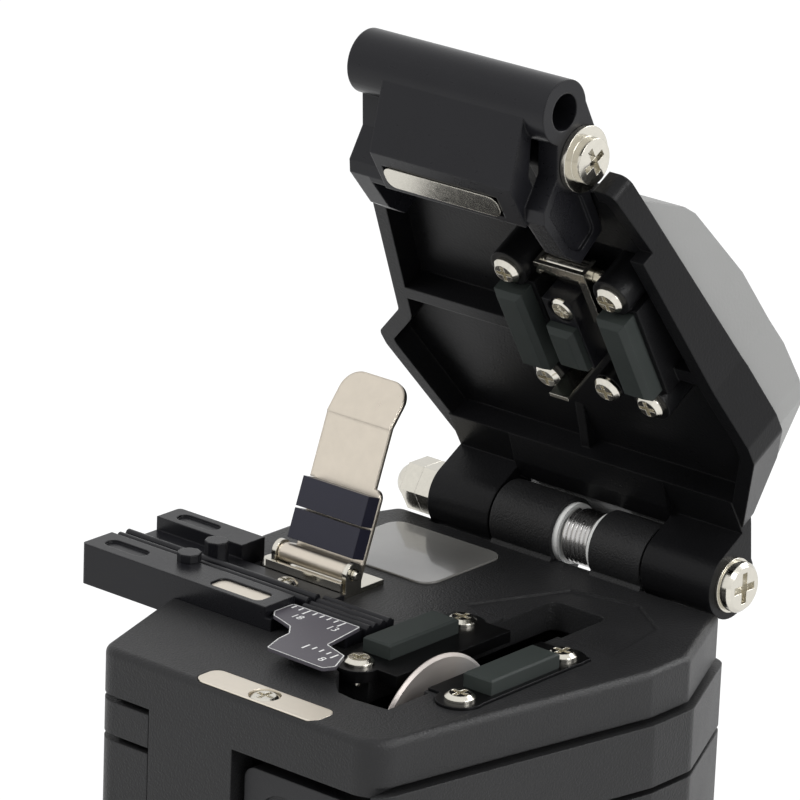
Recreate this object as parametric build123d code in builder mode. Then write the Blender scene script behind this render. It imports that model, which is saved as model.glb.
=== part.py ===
"""Fibre cleaver: housing, sliding blade carriage, fibre tray with a clamping flap, hinged lid with handle.

Millimetres, +Z up. X runs along the hinge, -Y is the front with the striker plate.
The origin is the middle of the rubber mat's underside.
"""
import os

from build123d import *

os.makedirs("parts", exist_ok=True)

# Driving dimensions, first the fits between the pieces.
seat_gap = 0.05
running_gap = 0.05
hole_gap = 0.1
moving_gap = 0.3
overcut = 1.0

# Housing and what closes it below.
deck_height = 40.0
deck_corners = [
    (-17.5, -28.0), (21.0, -28.0), (24.6, -10.0), (28.5, 8.5), (28.5, 15.0),
    (22.5, 28.0), (-23.5, 28.0), (-28.5, 15.0), (-28.5, 9.5), (-22.0, -13.0),
]
front_y = -28.0
rear_y = 28.0
front_right_rounding = 3.5
front_left_rounding = 2.5
side_rounding = 1.5
deck_edge_rounding = 0.9
deck_thickness = 3.6
wall = 1.8
mat_thickness = 1.2
mat_inset = 1.6
bottom_plate_thickness = 1.8
bottom_plate_inset = 0.5
post_radius = 2.4
post_places = [(-13.0, -21.0), (-20.5, 19.0), (20.5, 19.0), (22.3, 0.0)]

# Covers let into the sides of the housing.
band_height = 5.2
cover_groove = 0.7
cover_depth = 1.6
right_cover_proud = 0.7
left_cover_split = 10.0
right_cover_split = 13.4
left_cover_edge = -10.4
right_cover_edge = 20.6
rear_cover_edge = 20.6

# Window in the front wall and the push plate in it.
window_left = 1.5
window_right = 20.6
window_bottom = 10.0
window_below_deck = 6.2
push_plate_gap = 0.9
push_plate_setback = 1.2
push_plate_thickness = 3.0
push_panel_inset = 2.2
push_panel_depth = 0.3

# Fibre line.
fibre_height = 2.0

# Blade slot, blade and its carriage.
slot_left = 7.3
slot_right = 14.9
slot_front = -19.0
slot_rear = 18.0
slot_rounding = 1.2
slot_mouth_corners = [
    (3.0, -14.4), (5.1, -15.3), (6.2, -17.3), (8.8, -19.7), (11.1, -20.0), (15.6, -19.6),
    (15.6, -13.0), (3.0, -13.0),
]
blade_radius = 9.7
blade_thickness = 0.6
blade_x = 12.1
blade_y = -7.6
blade_bore_radius = 1.55
blade_axle_radius = 1.5
blade_below_fibre = 0.3
hub_radius = 3.5
hub_thickness = 0.7
blade_screw_head_radius = 2.5
blade_screw_head_height = 1.2
holder_thickness = 3.0
holder_half_length = 5.0
blade_floor_gap = 2.3
carriage_travel = 16.0
rail_x = 10.9
rail_width = 8.6
rail_height = 6.0
rail_end_gap = 0.6
rail_screw_inset = 3.0
runner_width = 13.2
runner_bottom = 5.0
runner_top = 12.5
carriage_left = 2.6
carriage_right = 17.6
carriage_rear = 5.0
lug_left = -6.5
lug_length = 2.4
spring_x = -4.0
spring_z = 16.0
spring_radius = 1.7
spring_wire = 0.35
spring_pitch = 1.1
spring_post_radius = 1.4
spring_post_y = -20.5
spring_post_top = 18.0

# Striker plate under the handle's magnet.
striker_left = -4.5
striker_right = 12.4
striker_lip = 0.4
striker_rear = -23.9
striker_thickness = 1.0
striker_rounding = 1.2

# Clamping pads of the base and the lid.
pad_places = [5.35, 19.3]
pad_y = -4.0
pad_width = 3.8
pad_length = 11.3
pad_screw_front = -12.45
pad_screw_rear = 4.5
pad_chamfer = 0.2
lid_pad_chamfer = 0.6
pad_plate_top = 0.3
pad_plate_thickness = 1.3
pad_plate_front = -12.5
pad_plate_rear = 6.3
pad_plate_ear_radius = 2.6
left_pad_plate_edges = (2.6, 10.7)
right_pad_plate_edges = (15.0, 21.8)
pad_screw_radius = 1.65
pad_screw_height = 0.7

# Fibre tray on the left side.
tray_left = -35.6
tray_right = -7.6
tray_step_x = -22.8
tray_front = -12.0
tray_rear = 0.0
tray_rear_rail_back = 3.9
tray_rear_rail_front = 0.1
tray_front_rail_back = -7.2
tray_bottom = -2.1
tray_floor = 1.0
tray_top = 2.6
tray_rib_places = [-5.9, -4.5]
tray_rib_radius = 0.5
tray_rib_height = 1.3
tray_block_places = [(-23.7, -7.5), (-24.1, -2.6)]
tray_block_radius = 1.35
tray_block_height = 1.0
tray_rail_rounding = 0.5
scallop_x = -31.0
scallop_length = 6.0
scallop_width = 2.0
scallop_depth = 0.3
metal_plate_left = -17.5
metal_plate_right = -10.2
metal_plate_front = -11.2
metal_plate_rear = -8.6
metal_plate_rounding = 0.8
metal_plate_thickness = 0.6
metal_plate_sink = 0.2
tray_screw_place = (-14.1, -2.2)
tray_screw_radius = 1.3
tray_screw_height = 0.6
guide_left = -7.5
guide_right = 1.8
guide_front = -7.2
guide_rear = -2.7
guide_top = 1.6
guide_ridge_radius = 0.42
guide_ridge_places = [-6.7, -5.7, -4.5, -3.4]

# Scale plate between the tray and the blade.
scale_corners = [
    (-8.4, -10.6), (-7.6, -11.6), (-6.0, -12.1), (-4.3, -12.7), (-3.0, -14.3), (-2.8, -16.2),
    (-1.9, -19.0), (6.1, -19.2), (6.8, -17.9), (5.4, -14.9), (2.1, -13.8), (1.2, -7.5), (-8.4, -7.5),
]
scale_rounding = 0.35
scale_top = 1.8
scale_thickness = 0.4
scale_foot_front = -10.0

# Label plate on the rear left of the deck, left bare.
label_left = -20.6
label_right = -4.6
label_front = 10.5
label_rear = 24.0
label_rounding = 2.0
label_thickness = 0.5
label_proud = 0.2

# Shallow recess of the deck behind the pads.
recess_corners = [(1.4, 9.2), (6.9, 21.4), (15.2, 23.1), (21.0, 19.0), (22.6, 9.2)]
recess_depth = 0.3

# Clamping flap of the tray.
flap_y = 2.4
flap_z = 2.5
flap_open = 110.0
flap_left = -18.6
flap_right = -9.1
flap_handle_right = -10.2
flap_pin_radius = 0.6
flap_barrel_radius = 1.05
flap_leaf_bottom = 1.9
flap_leaf_thickness = 0.6
flap_plate_margin = 0.8
flap_plate_rounding = 1.0
flap_handle_left = -19.3
flap_bend = 16.4
flap_handle_length = 5.2
flap_handle_lean = 20.0
flap_handle_rounding = 2.4
flap_pad_face = -0.1
flap_pad_starts = [1.6, 5.25]
flap_pad_length = 3.4
bracket_left = -22.4
bracket_front = 0.15
bracket_rear = 7.5
bracket_thickness = 0.6
bracket_lip_thickness = 0.4
bracket_lip_top = 2.0
bracket_ear_thickness = 0.6
bracket_ear_radius = 1.3
bracket_loop_radius = 2.6
bracket_loop_hole_radius = 1.2

# Lid hinge.
hinge_y = 29.9
hinge_z = 2.6
lid_open = 59.4
knuckle_radius = 4.0
knuckle_relief = 4.3
lug_side_inset = 0.2
lug_top_inset = 0.1
lug_drop = 1.0
hinge_shaft_radius = 1.5
lid_left_knuckle = (-17.8, -9.0)
base_left_knuckle = (-8.7, -0.1)
base_right_knuckle = (5.5, 12.6)
lid_right_knuckle = (12.9, 22.4)
bush_radius = 3.5
bush_thickness = 0.7
torsion_spring_radius = 2.85
torsion_spring_wire = 0.33
torsion_spring_turns = 5.6
hinge_washer_radius = 3.1
hinge_washer_thickness = 0.4
hinge_head_radius = 2.85
hinge_head_height = 1.4
hinge_nut_flats = 5.5
hinge_nut_thickness = 2.7
acorn_base_thickness = 2.2
acorn_dome_radius = 2.2

# Lid, drawn closed, heights above the deck.
lid_corners = [
    (-12.6, -25.0), (22.0, -25.0), (26.3, 2.5), (28.2, 10.5), (28.2, 13.0),
    (22.4, 25.5), (-17.4, 25.5), (-23.2, 11.5), (-23.4, 9.5), (-18.5, 4.4),
]
lid_rounding = 1.4
lid_wall_profile = [
    (-26.0, 6.6), (-16.0, 8.0), (-16.0, 6.2), (26.0, 6.9), (26.0, 8.4),
    (18.0, 12.2), (3.6, 12.2), (-26.0, 9.7),
]
lid_wall = 1.8
lid_rib_front = 0.1
lid_rib_rear = 1.9
lid_front_ceiling = 8.6
lid_rear_ceiling = 9.5
lid_ceiling_step = -14.4
lid_pocket_bottom = 5.0
arm_slot_gap = 0.3
arm_slot_back = -22.3
pivot_head_room = 2.3
cover_profile = [
    (-21.4, 10.1), (-16.1, 15.0), (-14.4, 15.9), (-4.4, 17.9), (6.0, 18.3),
    (14.0, 17.2), (22.0, 12.4), (22.0, 9.0), (-21.4, 9.0),
]
cover_inner_profile = [
    (-18.6, 10.0), (-15.4, 13.0), (-13.8, 14.0), (-4.2, 16.1), (6.0, 16.5),
    (13.4, 15.5), (19.2, 11.9), (19.2, 9.0), (-18.6, 9.0),
]
cover_inset = 0.7
cover_inner_left = -10.6
cover_inner_right = 20.4
hinge_arm_profile = [
    (25.9, 2.6), (25.9, 6.7), (21.0, 6.7), (21.0, 10.4), (26.0, 8.4), (33.0, 5.1), (33.9, 2.6),
]
hinge_web_profile = [
    (21.0, 6.7), (21.0, 10.4), (26.0, 9.1), (29.2, 8.4), (31.9, 7.6), (31.3, 6.0), (24.6, 6.0),
]
hinge_web_rib_x = 0.6
hinge_web_rib_width = 1.2
hinge_web_rib_profile = [(15.0, 9.6), (25.2, 6.9), (25.2, 8.4), (21.0, 10.0), (15.0, 10.0)]

# Pad holders in the lid.
lid_holder_bottom = 4.4
lid_holder_width = 5.0
lid_holder_overhang = 0.5
lid_boss_radius = 2.3
lid_boss_bottom = 3.9
lid_pad_screw_margin = 2.25
lid_screw_height = 0.9

# Anvil that bends the fibre over the blade.
anvil_pivot_y = -11.0
anvil_pin_engagement = 1.0
anvil_pivot_z = 6.9
anvil_pin_radius = 0.8
anvil_barrel_radius = 1.4
anvil_left = 8.1
anvil_right = 15.0
anvil_bar_front = -12.7
anvil_bar_rear = -11.7
anvil_bar_bottom = 5.1
anvil_leg_width = 1.1
anvil_leg_rear = -5.6
anvil_web_bottom = 6.6
anvil_web_thickness = 0.5
anvil_web_rear = 0.4
anvil_flange_height = 1.0
anvil_flange_thickness = 0.5
anvil_block_left = 9.3
anvil_block_right = 13.2
anvil_block_front = -9.3
anvil_block_rear = 0.2
anvil_block_bottom = 3.4
anvil_pad_left = 9.3
anvil_pad_right = 13.0
anvil_pad_front = -5.9
anvil_pad_rear = -0.1
anvil_tab_left = 8.1
anvil_tab_right = 10.6
anvil_tab_rear = 3.3
anvil_tab_tip = 0.5
anvil_screw_place = (11.4, -7.9)
anvil_screw_radius = 1.5
anvil_bay_left = 7.9
anvil_bay_right = 15.3
stop_boss_place = (13.6, 3.4)
stop_boss_radius = 1.7
stop_screw_seat = 4.0

# Handle with its magnet.
handle_pivot_y = -27.1
handle_pivot_z = 8.8
handle_pivot_radius = 1.2
handle_left = -9.5
handle_right = 17.2
handle_arm_width = 2.6
handle_tube_y = -33.5
handle_tube_z = 8.9
handle_tube_radius = 3.5
handle_bore_radius = 2.0
handle_arm_profile = [
    (-33.5, 5.6), (-31.3, 6.6), (-27.8, 4.8), (-25.9, 1.4), (-24.6, 0.8), (-19.2, 1.8),
    (-16.7, 3.5), (-17.5, 7.9), (-18.9, 8.2), (-22.6, 8.2), (-24.4, 10.7), (-27.1, 12.0),
    (-33.5, 12.2),
]
handle_shoulder_profile = [
    (-33.0, 6.4), (-31.3, 6.6), (-27.8, 4.8), (-25.9, 1.4), (-24.6, 0.8), (-23.8, 0.8),
    (-23.8, 3.4), (-25.3, 3.4), (-27.2, 5.8), (-31.0, 8.0), (-33.0, 8.0),
]
handle_wedge_left = -4.6
arm_pocket_profile = [
    (-26.6, 4.4), (-25.0, 2.0), (-19.6, 2.8), (-17.9, 4.0), (-18.5, 7.0), (-23.4, 7.0),
]
arm_pocket_depth = 0.4
arm_pocket_rounding = 0.8
handle_wedge_profile = [
    (-35.2, 6.0), (-32.4, 5.9), (-28.6, 3.4), (-23.8, 3.4), (-23.8, 0.6), (-29.2, 0.4),
]
magnet_left = -3.6
magnet_right = 12.0
magnet_front = -27.4
magnet_rear = -24.6
magnet_bottom = 0.3
magnet_height = 2.0
magnet_rounding = 1.1
ear_width = 2.5
ear_radius = 2.4
ear_profile = [(-27.1, 6.4), (-24.0, 6.8), (-20.5, 8.4), (-20.5, 9.9), (-25.0, 9.7), (-27.1, 11.2)]
pivot_flange_radius = 3.6
pivot_flange_height = 0.6
pivot_head_radius = 2.5
pivot_head_height = 1.1
handle_spring_radius = 1.65
handle_spring_wire = 0.3
handle_spring_start = 0.5
handle_spring_length = 5.0

# Screws, as shares of the head's radius or height.
head_rim_share = 0.45
head_crown_share = 0.72
recess_arm_share = 1.25
recess_width_share = 0.3
recess_depth_share = 0.6
shank_share = 0.52
short_shank = 1.0
bottom_screw_head_radius = 2.4
bottom_screw_head_height = 0.9
bottom_screw_length = 10.0
bottom_screw_access = 3.0

# Frames and helpers.

seated = (Align.CENTER, Align.CENTER, Align.MIN)
hanging = (Align.CENTER, Align.CENTER, Align.MAX)
corner = (Align.MIN, Align.MIN, Align.MIN)
to_right = (0, 90, 0)
to_left = (0, -90, 0)
upside_down = (180, 0, 0)

mat_top = mat_thickness
plate_top = mat_top + bottom_plate_thickness
band_bottom = deck_height - band_height
ceiling = deck_height - deck_thickness
window_top = deck_height - window_below_deck
push_plate_front = front_y + push_plate_setback
shell_thickness = cover_depth + wall
plan_reach = max(abs(x) for x, y in deck_corners) + right_cover_proud + overcut
lid_top_reach = max(z for y, z in cover_profile)


def hinged(axis_y, axis_z, opening):
    """Frame of a piece drawn closed at deck level and turned open about an axis along X."""
    to_axis = Location((0, axis_y, deck_height + axis_z))
    back = Location((0, -axis_y, -axis_z))
    return to_axis * Location((0, 0, 0), (-opening, 0, 0)) * back


deck = Location((0, 0, deck_height))
lid = hinged(hinge_y, hinge_z, lid_open)
lid_up = Axis((0, 0, 0), tuple(Plane(lid).z_dir))
flap = hinged(flap_y, flap_z, flap_open)


def level(frame, height):
    """Sketch plane lying in a frame at a height above the deck."""
    return Plane(frame * Location((0, 0, height)))


def side(frame, across):
    """Sketch plane facing +X, its axes pointing rearwards and up in the frame."""
    return Plane(frame * Plane.YZ.offset(across).location)


def at(frame, across, along, height, turn=(0, 0, 0)):
    """Place in a frame, with an optional turn."""
    return frame * Location((across, along, height), turn)


def block(frame, across, along, heights, mode=Mode.ADD):
    """Box between two values on each axis of a frame."""
    with Locations(at(frame, across[0], along[0], heights[0])):
        Box(
            across[1] - across[0],
            along[1] - along[0],
            heights[1] - heights[0],
            align=corner,
            mode=mode,
        )


def prism(frame, across, profile, mode=Mode.ADD):
    """Side profile carried from one X to another."""
    with BuildSketch(side(frame, across[0])) as face:
        Polygon(*profile, align=None)
    extrude(face.sketch, amount=across[1] - across[0], mode=mode)


def rod(frame, across, along, height, radius, mode=Mode.ADD):
    """Round bar along X between two values."""
    with Locations(at(frame, across[0], along, height, to_right)):
        Cylinder(radius, across[1] - across[0], align=seated, mode=mode)


def cross_recess(radius, height):
    """Cross recess in the top of a head at each current place."""
    with Locations((0, 0, height)):
        for turn in (0, 90):
            Box(
                radius * recess_arm_share,
                radius * recess_width_share,
                height * recess_depth_share * 2,
                rotation=(0, 0, turn),
                mode=Mode.SUBTRACT,
            )


def pan_screw(radius, height, length):
    """Cross-recessed pan head on the local XY plane, with its shank below."""
    rim = height * head_rim_share
    Cylinder(radius, rim, align=seated)
    with Locations((0, 0, rim)):
        Cone(radius, radius * head_crown_share, height - rim, align=seated)
    Cylinder(radius * shank_share, length, align=hanging)
    cross_recess(radius, height)


def screw_hole(radius, length):
    """Clearance hole for the shank of a pan screw."""
    Cylinder(radius * shank_share + hole_gap, length, align=hanging, mode=Mode.SUBTRACT)


def coil(start, length, radius, wire, turns, direction):
    """Round wire wound along a direction, from a start point."""
    with BuildLine() as path:
        Helix(pitch=length / turns, height=length, radius=radius, center=start, direction=direction)
    with BuildSketch(Plane(origin=path.line @ 0, z_dir=path.line % 0)) as section:
        Circle(wire)
    sweep(section.sketch, path=path.line, is_frenet=True)


def keep(builder, name):
    """Name a finished sub-part and write its STEP file."""
    builder.part.label = name
    export_step(builder.part, f"parts/{name}.step")


# Plan outlines shared by several pieces.
with BuildSketch() as deck_plan:
    Polygon(*deck_corners, align=None)
    fillet(deck_plan.vertices().sort_by_distance((deck_corners[1][0], front_y))[0], front_right_rounding)
    fillet(deck_plan.vertices().sort_by_distance((deck_corners[0][0], front_y))[0], front_left_rounding)
    fillet(deck_plan.vertices().filter_by(lambda v: v.Y > deck_corners[-1][1] - 1), side_rounding)

with BuildSketch() as lid_plan:
    Polygon(*lid_corners, align=None)
    fillet(lid_plan.vertices(), lid_rounding)


def deck_slab(bottom, top, inset=0.0, mode=Mode.ADD):
    """Slice of the housing's outline between two heights, moved inwards by the inset."""
    with BuildSketch(Plane.XY.offset(bottom)) as slab:
        add(deck_plan.sketch)
        if inset:
            offset(amount=-inset)
    extrude(slab.sketch, amount=top - bottom, mode=mode)


def tray_plan(gap):
    """Plan of the fibre tray, with a gap all round it."""
    across = (tray_left - gap, tray_right + gap)
    along = (tray_front - gap, tray_rear + gap)
    Polygon(
        (across[0], along[0]),
        (across[1], along[0]),
        (across[1], along[1]),
        (tray_step_x + gap, along[1]),
        (tray_step_x + gap, tray_rear_rail_back + gap),
        (across[0], tray_rear_rail_back + gap),
        align=None,
    )


def striker_plan(gap):
    """Plan of the striker plate behind its lip, with a gap all round it."""
    middle = ((striker_left + striker_right) / 2, (striker_front + striker_rear) / 2)
    with Locations(middle):
        RectangleRounded(
            striker_right - striker_left + 2 * gap,
            striker_rear - striker_front + 2 * gap,
            striker_rounding,
        )


def pad_plate_plan(edges, screw_x, gap):
    """Plan of a pad plate with a round ear at each of its two screws."""
    Polygon(
        (edges[0] - gap, pad_plate_front - gap),
        (edges[1] + gap, pad_plate_front - gap),
        (edges[1] + gap, pad_plate_rear + gap),
        (edges[0] - gap, pad_plate_rear + gap),
        align=None,
    )
    with Locations((screw_x, pad_screw_front), (screw_x, pad_screw_rear)):
        Circle(pad_plate_ear_radius + gap)


def label_plan(gap):
    """Plan of the label plate, with a gap all round it."""
    middle = ((label_left + label_right) / 2, (label_front + label_rear) / 2)
    with Locations(middle):
        RectangleRounded(
            label_right - label_left + 2 * gap,
            label_rear - label_front + 2 * gap,
            label_rounding,
        )


striker_front = front_y + striker_lip
pad_plate_bottom = pad_plate_top - pad_plate_thickness
pad_screws = [at(deck, x, y, pad_plate_top) for x in pad_places for y in (pad_screw_front, pad_screw_rear)]
striker_screw_place = at(deck, (striker_left + striker_right) / 2, (striker_front + striker_rear) / 2, 0)

# Base.

with BuildPart() as housing:
    deck_slab(band_bottom, deck_height)
    fillet(housing.edges().group_by(Axis.Z)[-1], deck_edge_rounding)
    deck_slab(plate_top, band_bottom, inset=cover_depth)
    # Flush front and rear walls between the side covers.
    with BuildSketch(Plane.XY.offset(plate_top)):
        add(deck_plan.sketch)
        Polygon(
            (left_cover_edge + hole_gap, front_y - overcut),
            (right_cover_edge - hole_gap, front_y - overcut),
            (rear_cover_edge - hole_gap, rear_y + overcut),
            (-rear_cover_edge + hole_gap, rear_y + overcut),
            (-rear_cover_edge + hole_gap, 0),
            (left_cover_edge + hole_gap, 0),
            align=None,
            mode=Mode.INTERSECT,
        )
    extrude(amount=band_bottom - plate_top)
    deck_slab(plate_top, ceiling, inset=shell_thickness, mode=Mode.SUBTRACT)
    # Posts for the screws of the bottom plate.
    with BuildSketch(Plane.XY.offset(plate_top)):
        with Locations(*post_places):
            Circle(post_radius)
    extrude(amount=ceiling - plate_top)
    with Locations(*[(x, y, plate_top) for x, y in post_places]):
        Cylinder(
            bottom_screw_head_radius * shank_share + hole_gap,
            bottom_screw_length + hole_gap,
            align=seated,
            mode=Mode.SUBTRACT,
        )
    # Window for the push plate, and the lane that the plate slides in behind it.
    block(
        Location(),
        (window_left, window_right),
        (front_y - overcut, front_y + shell_thickness + overcut),
        (window_bottom, window_top),
        mode=Mode.SUBTRACT,
    )
    block(
        Location(),
        (window_left, window_right - push_plate_gap + moving_gap),
        (front_y, push_plate_front + push_plate_thickness + carriage_travel + overcut),
        (window_bottom, window_top),
        mode=Mode.SUBTRACT,
    )
    # Blade slot through the deck, with its wider mouth at the front.
    with BuildSketch(Plane.XY.offset(ceiling - overcut)):
        with Locations(((slot_left + slot_right) / 2, (slot_front + slot_rear) / 2)):
            RectangleRounded(slot_right - slot_left, slot_rear - slot_front, slot_rounding)
        Polygon(*slot_mouth_corners, align=None)
    extrude(amount=deck_thickness + 2 * overcut, mode=Mode.SUBTRACT)
    # Seats of the plates that lie in the deck.
    with BuildSketch(level(deck, pad_plate_bottom)):
        pad_plate_plan(left_pad_plate_edges, pad_places[0], seat_gap)
        pad_plate_plan(right_pad_plate_edges, pad_places[1], seat_gap)
    extrude(amount=pad_plate_thickness, mode=Mode.SUBTRACT)
    with BuildSketch(level(deck, -striker_thickness)):
        striker_plan(seat_gap)
    extrude(amount=striker_thickness + overcut, mode=Mode.SUBTRACT)
    with BuildSketch(level(deck, label_proud - label_thickness)):
        label_plan(seat_gap)
    extrude(amount=label_thickness, mode=Mode.SUBTRACT)
    with BuildSketch(level(deck, -recess_depth)):
        Polygon(*recess_corners, align=None)
    extrude(amount=recess_depth, mode=Mode.SUBTRACT)
    with BuildSketch(level(deck, tray_bottom)):
        tray_plan(seat_gap)
    extrude(amount=tray_top - tray_bottom, mode=Mode.SUBTRACT)
    # Screw holes.
    with Locations(*pad_screws):
        screw_hole(pad_screw_radius, pad_plate_thickness + short_shank + hole_gap)
    with Locations(striker_screw_place):
        screw_hole(pad_screw_radius, striker_thickness + short_shank + hole_gap)
    with Locations(at(deck, *tray_screw_place, tray_bottom)):
        screw_hole(tray_screw_radius, short_shank + hole_gap)
    # Relief for the lid's knuckles, then the base's own two knuckles.
    for knuckle in (lid_left_knuckle, lid_right_knuckle):
        relief = (knuckle[0] - hole_gap * 2, knuckle[1] + hole_gap * 2)
        rod(deck, relief, hinge_y, hinge_z, knuckle_relief, mode=Mode.SUBTRACT)
    for knuckle in (base_left_knuckle, base_right_knuckle):
        rod(deck, knuckle, hinge_y, hinge_z, knuckle_radius)
        lug_profile = [
            (rear_y - wall, -deck_thickness),
            (rear_y, -deck_thickness * 2),
            (hinge_y + knuckle_radius - lug_side_inset, hinge_z - lug_drop),
            (hinge_y, hinge_z + knuckle_radius - lug_top_inset),
            (rear_y - wall, 0),
        ]
        prism(deck, knuckle, lug_profile)
        rod(deck, knuckle, hinge_y, hinge_z, hinge_shaft_radius + running_gap, mode=Mode.SUBTRACT)
keep(housing, "housing")

left_cover_zone = [
    (-plan_reach, front_y - overcut), (left_cover_edge, front_y - overcut), (left_cover_edge, 0),
    (-rear_cover_edge, 0), (-rear_cover_edge, rear_y + overcut), (-plan_reach, rear_y + overcut),
]
right_cover_zone = [
    (right_cover_edge, front_y - overcut), (plan_reach, front_y - overcut),
    (plan_reach, rear_y + overcut), (rear_cover_edge, rear_y + overcut),
]


def side_cover(bottom, top, zone, proud):
    """One strip of side cover between two heights, standing proud of the housing's outline."""
    deck_slab(bottom, top, inset=-proud)
    deck_slab(bottom, top, inset=cover_depth - seat_gap, mode=Mode.SUBTRACT)
    with BuildSketch(Plane.XY.offset(bottom)) as kept_zone:
        Polygon(*zone, align=None)
    extrude(kept_zone.sketch, amount=top - bottom, mode=Mode.INTERSECT)


cover_top = band_bottom - cover_groove
left_split = deck_height - left_cover_split
right_split = deck_height - right_cover_split

with BuildPart() as left_upper_cover:
    side_cover(left_split + cover_groove / 2, cover_top, left_cover_zone, 0)
keep(left_upper_cover, "left_upper_cover")

with BuildPart() as left_lower_cover:
    side_cover(plate_top, left_split - cover_groove / 2, left_cover_zone, 0)
keep(left_lower_cover, "left_lower_cover")

with BuildPart() as right_upper_cover:
    side_cover(right_split + cover_groove / 2, cover_top, right_cover_zone, right_cover_proud)
keep(right_upper_cover, "right_upper_cover")

with BuildPart() as right_lower_cover:
    side_cover(plate_top, right_split - cover_groove / 2, right_cover_zone, right_cover_proud)
keep(right_lower_cover, "right_lower_cover")

with BuildPart() as bottom_plate:
    deck_slab(mat_top, plate_top, inset=bottom_plate_inset)
    with Locations((spring_x, spring_post_y, plate_top)):
        Cylinder(spring_post_radius, spring_post_top - plate_top, align=seated)
    with Locations(*[(x, y, plate_top) for x, y in post_places]):
        screw_hole(bottom_screw_head_radius, bottom_plate_thickness + overcut)
keep(bottom_plate, "bottom_plate")

with BuildPart() as rubber_mat:
    deck_slab(0, mat_top, inset=mat_inset)
    fillet(rubber_mat.edges().group_by(Axis.Z)[0], mat_thickness / 3)
    with Locations(*post_places):
        Cylinder(bottom_screw_access, mat_thickness * 2, mode=Mode.SUBTRACT)
keep(rubber_mat, "rubber_mat")

with BuildPart() as bottom_screws:
    with Locations(*[Location((x, y, mat_top), upside_down) for x, y in post_places]):
        pan_screw(
            bottom_screw_head_radius,
            bottom_screw_head_height,
            bottom_plate_thickness + bottom_screw_length,
        )
keep(bottom_screws, "bottom_screws")

with BuildPart() as striker_plate:
    with BuildSketch(level(deck, -striker_thickness)):
        striker_plan(0)
    extrude(amount=striker_thickness)
    with Locations(striker_screw_place):
        Cylinder(
            pad_screw_radius + hole_gap,
            striker_thickness / 2,
            align=hanging,
            mode=Mode.SUBTRACT,
        )
        screw_hole(pad_screw_radius, striker_thickness)
keep(striker_plate, "striker_plate")

with BuildPart() as striker_screw:
    with Locations(striker_screw_place * Location((0, 0, -striker_thickness / 2))):
        pan_screw(pad_screw_radius, striker_thickness / 2, striker_thickness / 2 + short_shank)
keep(striker_screw, "striker_screw")

with BuildPart() as label_plate:
    with BuildSketch(level(deck, label_proud - label_thickness)):
        label_plan(0)
    extrude(amount=label_thickness)
    chamfer(label_plate.edges().group_by(Axis.Z)[-1], label_proud / 2)
keep(label_plate, "label_plate")


def pad_plate(edges, screw_x):
    """Metal plate under a base pad, with its two screw holes."""
    with BuildSketch(level(deck, pad_plate_bottom)) as plate:
        pad_plate_plan(edges, screw_x, 0)
    extrude(plate.sketch, amount=pad_plate_thickness)
    with Locations(
        at(deck, screw_x, pad_screw_front, pad_plate_top),
        at(deck, screw_x, pad_screw_rear, pad_plate_top),
    ):
        screw_hole(pad_screw_radius, pad_plate_thickness)


with BuildPart() as left_pad_plate:
    pad_plate(left_pad_plate_edges, pad_places[0])
keep(left_pad_plate, "left_pad_plate")

with BuildPart() as right_pad_plate:
    pad_plate(right_pad_plate_edges, pad_places[1])
keep(right_pad_plate, "right_pad_plate")


def clamping_pad(frame, across, heights):
    """Rubber pad centred on its place along X."""
    half = pad_width / 2
    block(
        frame,
        (across - half, across + half),
        (pad_y - pad_length / 2, pad_y + pad_length / 2),
        heights,
    )


with BuildPart() as base_pad_left:
    clamping_pad(deck, pad_places[0], (pad_plate_top, fibre_height))
    chamfer(base_pad_left.edges().group_by(Axis.Z)[-1], pad_chamfer)
keep(base_pad_left, "base_pad_left")

with BuildPart() as base_pad_right:
    clamping_pad(deck, pad_places[1], (pad_plate_top, fibre_height))
    chamfer(base_pad_right.edges().group_by(Axis.Z)[-1], pad_chamfer)
keep(base_pad_right, "base_pad_right")

with BuildPart() as base_pad_screws:
    with Locations(*pad_screws):
        pan_screw(pad_screw_radius, pad_screw_height, pad_plate_thickness + short_shank)
keep(base_pad_screws, "base_pad_screws")

# Fibre tray.

metal_plate_bottom = tray_top - metal_plate_sink - metal_plate_thickness


def metal_plate_plan(gap):
    """Plan of the metal plate in the front rail, with a gap all round it."""
    with Locations(
        ((metal_plate_left + metal_plate_right) / 2, (metal_plate_front + metal_plate_rear) / 2)
    ):
        RectangleRounded(
            metal_plate_right - metal_plate_left + 2 * gap,
            metal_plate_rear - metal_plate_front + 2 * gap,
            metal_plate_rounding,
        )


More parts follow.
